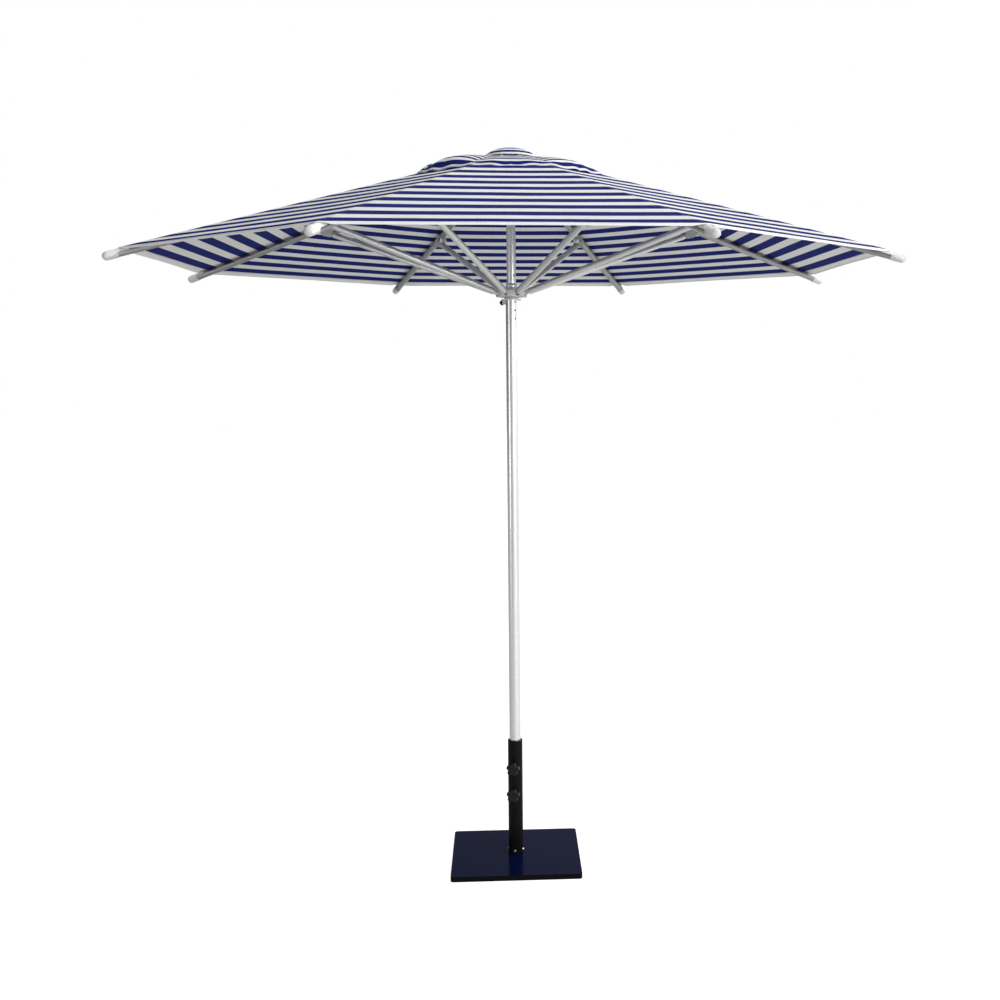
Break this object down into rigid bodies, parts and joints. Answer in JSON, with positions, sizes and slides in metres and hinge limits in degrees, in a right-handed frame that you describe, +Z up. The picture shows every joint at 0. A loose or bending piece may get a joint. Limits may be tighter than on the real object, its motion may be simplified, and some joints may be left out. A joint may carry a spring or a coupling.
{
  "type": "patio umbrella with base",
  "caption": "Push-up garden parasol: octagonal striped canopy with a vented top, ribs and struts on a sliding runner, straight pole, stem with hand knobs on a flat steel plate.",
  "frame": {"origin": "middle of the base plate's underside, on the floor, under the pole's axis", "axes": "+Z up along the pole, -Y towards the clamp knobs (the front), +X to the right seen from the front"},
  "size_m": [2.5594, 2.5594, 2.646],
  "materials": {
    "base_paint": "glossy",
    "stem_paint": "satin",
    "steel": "satin",
    "black_plastic": "satin",
    "pole_coat": "satin",
    "frame_alloy": "satin",
    "white_nylon": "satin",
    "canopy_cloth": "matte"
  },
  "bodies": {
    "base": {"base_plate": "base_paint", "stem_tube": "stem_paint", "stem_screws": "steel"},
    "clamp_knob_upper": {"clamp_knob_upper": "black_plastic"},
    "clamp_knob_lower": {"clamp_knob_lower": "black_plastic"},
    "pole": {"pole": "pole_coat", "top_hub": "white_nylon", "hub_pins": "steel", "crown_dome": "canopy_cloth"},
    "rib_1": {"rib_1": "frame_alloy", "rib_bracket_1": "frame_alloy", "tip_cap_1": "white_nylon", "canopy_panel_1": "canopy_cloth", "vent_panel_1": "canopy_cloth"},
    "rib_2": {"rib_2": "frame_alloy", "rib_bracket_2": "frame_alloy", "tip_cap_2": "white_nylon", "canopy_panel_2": "canopy_cloth", "vent_panel_2": "canopy_cloth"},
    "rib_3": {"rib_3": "frame_alloy", "rib_bracket_3": "frame_alloy", "tip_cap_3": "white_nylon", "canopy_panel_3": "canopy_cloth", "vent_panel_3": "canopy_cloth"},
    "rib_4": {"rib_4": "frame_alloy", "rib_bracket_4": "frame_alloy", "tip_cap_4": "white_nylon", "canopy_panel_4": "canopy_cloth", "vent_panel_4": "canopy_cloth"},
    "rib_5": {"rib_5": "frame_alloy", "rib_bracket_5": "frame_alloy", "tip_cap_5": "white_nylon", "canopy_panel_5": "canopy_cloth", "vent_panel_5": "canopy_cloth"},
    "rib_6": {"rib_6": "frame_alloy", "rib_bracket_6": "frame_alloy", "tip_cap_6": "white_nylon", "canopy_panel_6": "canopy_cloth", "vent_panel_6": "canopy_cloth"},
    "rib_7": {"rib_7": "frame_alloy", "rib_bracket_7": "frame_alloy", "tip_cap_7": "white_nylon", "canopy_panel_7": "canopy_cloth", "vent_panel_7": "canopy_cloth"},
    "rib_8": {"rib_8": "frame_alloy", "rib_bracket_8": "frame_alloy", "tip_cap_8": "white_nylon", "canopy_panel_8": "canopy_cloth", "vent_panel_8": "canopy_cloth"},
    "strut_1": {"strut_1": "frame_alloy"},
    "strut_2": {"strut_2": "frame_alloy"},
    "strut_3": {"strut_3": "frame_alloy"},
    "strut_4": {"strut_4": "frame_alloy"},
    "strut_5": {"strut_5": "frame_alloy"},
    "strut_6": {"strut_6": "frame_alloy"},
    "strut_7": {"strut_7": "frame_alloy"},
    "strut_8": {"strut_8": "frame_alloy"},
    "runner": {"runner": "white_nylon", "runner_pins": "steel"},
    "lock_pin": {"lock_pin": "black_plastic"}
  },
  "joints": [
    {"name": "clamp_upper_turn", "type": "hinge", "parent": "base", "child": "clamp_knob_upper", "pos_m": [0, 0, 0.358], "axis": [-0.2079, -0.9781, 0], "continuous": true},
    {"name": "clamp_lower_turn", "type": "hinge", "parent": "base", "child": "clamp_knob_lower", "pos_m": [0, 0, 0.256], "axis": [-0.2079, -0.9781, 0], "continuous": true},
    {"name": "pole_lift", "type": "slide", "parent": "base", "child": "pole", "axis": [0, 0, 1], "range_m": [0, 0.44]},
    {"name": "fold", "type": "hinge", "parent": "pole", "child": "rib_1", "pos_m": [0.01799, -0.04342, 2.595], "axis": [0.9239, 0.3827, 0], "range_deg": [0, 70.88], "deforming": ["canopy_panel_1", "vent_panel_1"]},
    {"name": "fold_2", "type": "hinge", "parent": "pole", "child": "rib_2", "pos_m": [0.04342, -0.01799, 2.595], "axis": [0.3827, 0.9239, 0], "range_deg": [0, 70.88], "deforming": ["canopy_panel_2", "vent_panel_2"]},
    {"name": "fold_3", "type": "hinge", "parent": "pole", "child": "rib_3", "pos_m": [0.04342, 0.01799, 2.595], "axis": [-0.3827, 0.9239, 0], "range_deg": [0, 70.88], "deforming": ["canopy_panel_3", "vent_panel_3"]},
    {"name": "fold_4", "type": "hinge", "parent": "pole", "child": "rib_4", "pos_m": [0.01799, 0.04342, 2.595], "axis": [-0.9239, 0.3827, 0], "range_deg": [0, 70.88], "deforming": ["canopy_panel_4", "vent_panel_4"]},
    {"name": "fold_5", "type": "hinge", "parent": "pole", "child": "rib_5", "pos_m": [-0.01799, 0.04342, 2.595], "axis": [-0.9239, -0.3827, 0], "range_deg": [0, 70.88], "deforming": ["canopy_panel_5", "vent_panel_5"]},
    {"name": "fold_6", "type": "hinge", "parent": "pole", "child": "rib_6", "pos_m": [-0.04342, 0.01799, 2.595], "axis": [-0.3827, -0.9239, 0], "range_deg": [0, 70.88], "deforming": ["canopy_panel_6", "vent_panel_6"]},
    {"name": "fold_7", "type": "hinge", "parent": "pole", "child": "rib_7", "pos_m": [-0.04342, -0.01799, 2.595], "axis": [0.3827, -0.9239, 0], "range_deg": [0, 70.88], "deforming": ["canopy_panel_7", "vent_panel_7"]},
    {"name": "fold_8", "type": "hinge", "parent": "pole", "child": "rib_8", "pos_m": [-0.01799, -0.04342, 2.595], "axis": [0.9239, -0.3827, 0], "range_deg": [0, 70.88], "deforming": ["canopy_panel_8", "vent_panel_8"]},
    {"name": "strut_turn_1", "type": "hinge", "parent": "rib_1", "child": "strut_1", "pos_m": [0.27933, -0.67436, 2.35824], "axis": [0.9239, 0.3827, 0], "range_deg": [-141.76, 0]},
    {"name": "strut_turn_2", "type": "hinge", "parent": "rib_2", "child": "strut_2", "pos_m": [0.67436, -0.27933, 2.35824], "axis": [0.3827, 0.9239, 0], "range_deg": [-141.76, 0]},
    {"name": "strut_turn_3", "type": "hinge", "parent": "rib_3", "child": "strut_3", "pos_m": [0.67436, 0.27933, 2.35824], "axis": [-0.3827, 0.9239, 0], "range_deg": [-141.76, 0]},
    {"name": "strut_turn_4", "type": "hinge", "parent": "rib_4", "child": "strut_4", "pos_m": [0.27933, 0.67436, 2.35824], "axis": [-0.9239, 0.3827, 0], "range_deg": [-141.76, 0]},
    {"name": "strut_turn_5", "type": "hinge", "parent": "rib_5", "child": "strut_5", "pos_m": [-0.27933, 0.67436, 2.35824], "axis": [-0.9239, -0.3827, 0], "range_deg": [-141.76, 0]},
    {"name": "strut_turn_6", "type": "hinge", "parent": "rib_6", "child": "strut_6", "pos_m": [-0.67436, 0.27933, 2.35824], "axis": [-0.3827, -0.9239, 0], "range_deg": [-141.76, 0]},
    {"name": "strut_turn_7", "type": "hinge", "parent": "rib_7", "child": "strut_7", "pos_m": [-0.67436, -0.27933, 2.35824], "axis": [0.3827, -0.9239, 0], "range_deg": [-141.76, 0]},
    {"name": "strut_turn_8", "type": "hinge", "parent": "rib_8", "child": "strut_8", "pos_m": [-0.27933, -0.67436, 2.35824], "axis": [0.9239, -0.3827, 0], "range_deg": [-141.76, 0]},
    {"name": "runner_turn", "type": "hinge", "parent": "strut_1", "child": "runner", "pos_m": [0.01799, -0.04342, 2.12148], "axis": [0.9239, 0.3827, 0], "range_deg": [0, 70.88]},
    {"name": "lock_pull", "type": "slide", "parent": "runner", "child": "lock_pin", "axis": [-0.5878, 0.809, 0], "range_m": [0, 0.012], "stiffness_N_per_m": 600, "springref_m": -0.006}
  ],
  "couplings": [
    {"joint": "fold_2", "follows": "fold", "ratio": 1},
    {"joint": "fold_3", "follows": "fold", "ratio": 1},
    {"joint": "fold_4", "follows": "fold", "ratio": 1},
    {"joint": "fold_5", "follows": "fold", "ratio": 1},
    {"joint": "fold_6", "follows": "fold", "ratio": 1},
    {"joint": "fold_7", "follows": "fold", "ratio": 1},
    {"joint": "fold_8", "follows": "fold", "ratio": 1},
    {"joint": "strut_turn_1", "follows": "fold", "ratio": -2},
    {"joint": "strut_turn_2", "follows": "fold", "ratio": -2},
    {"joint": "strut_turn_3", "follows": "fold", "ratio": -2},
    {"joint": "strut_turn_4", "follows": "fold", "ratio": -2},
    {"joint": "strut_turn_5", "follows": "fold", "ratio": -2},
    {"joint": "strut_turn_6", "follows": "fold", "ratio": -2},
    {"joint": "strut_turn_7", "follows": "fold", "ratio": -2},
    {"joint": "strut_turn_8", "follows": "fold", "ratio": -2},
    {"joint": "runner_turn", "follows": "fold", "ratio": 1}
  ]
}
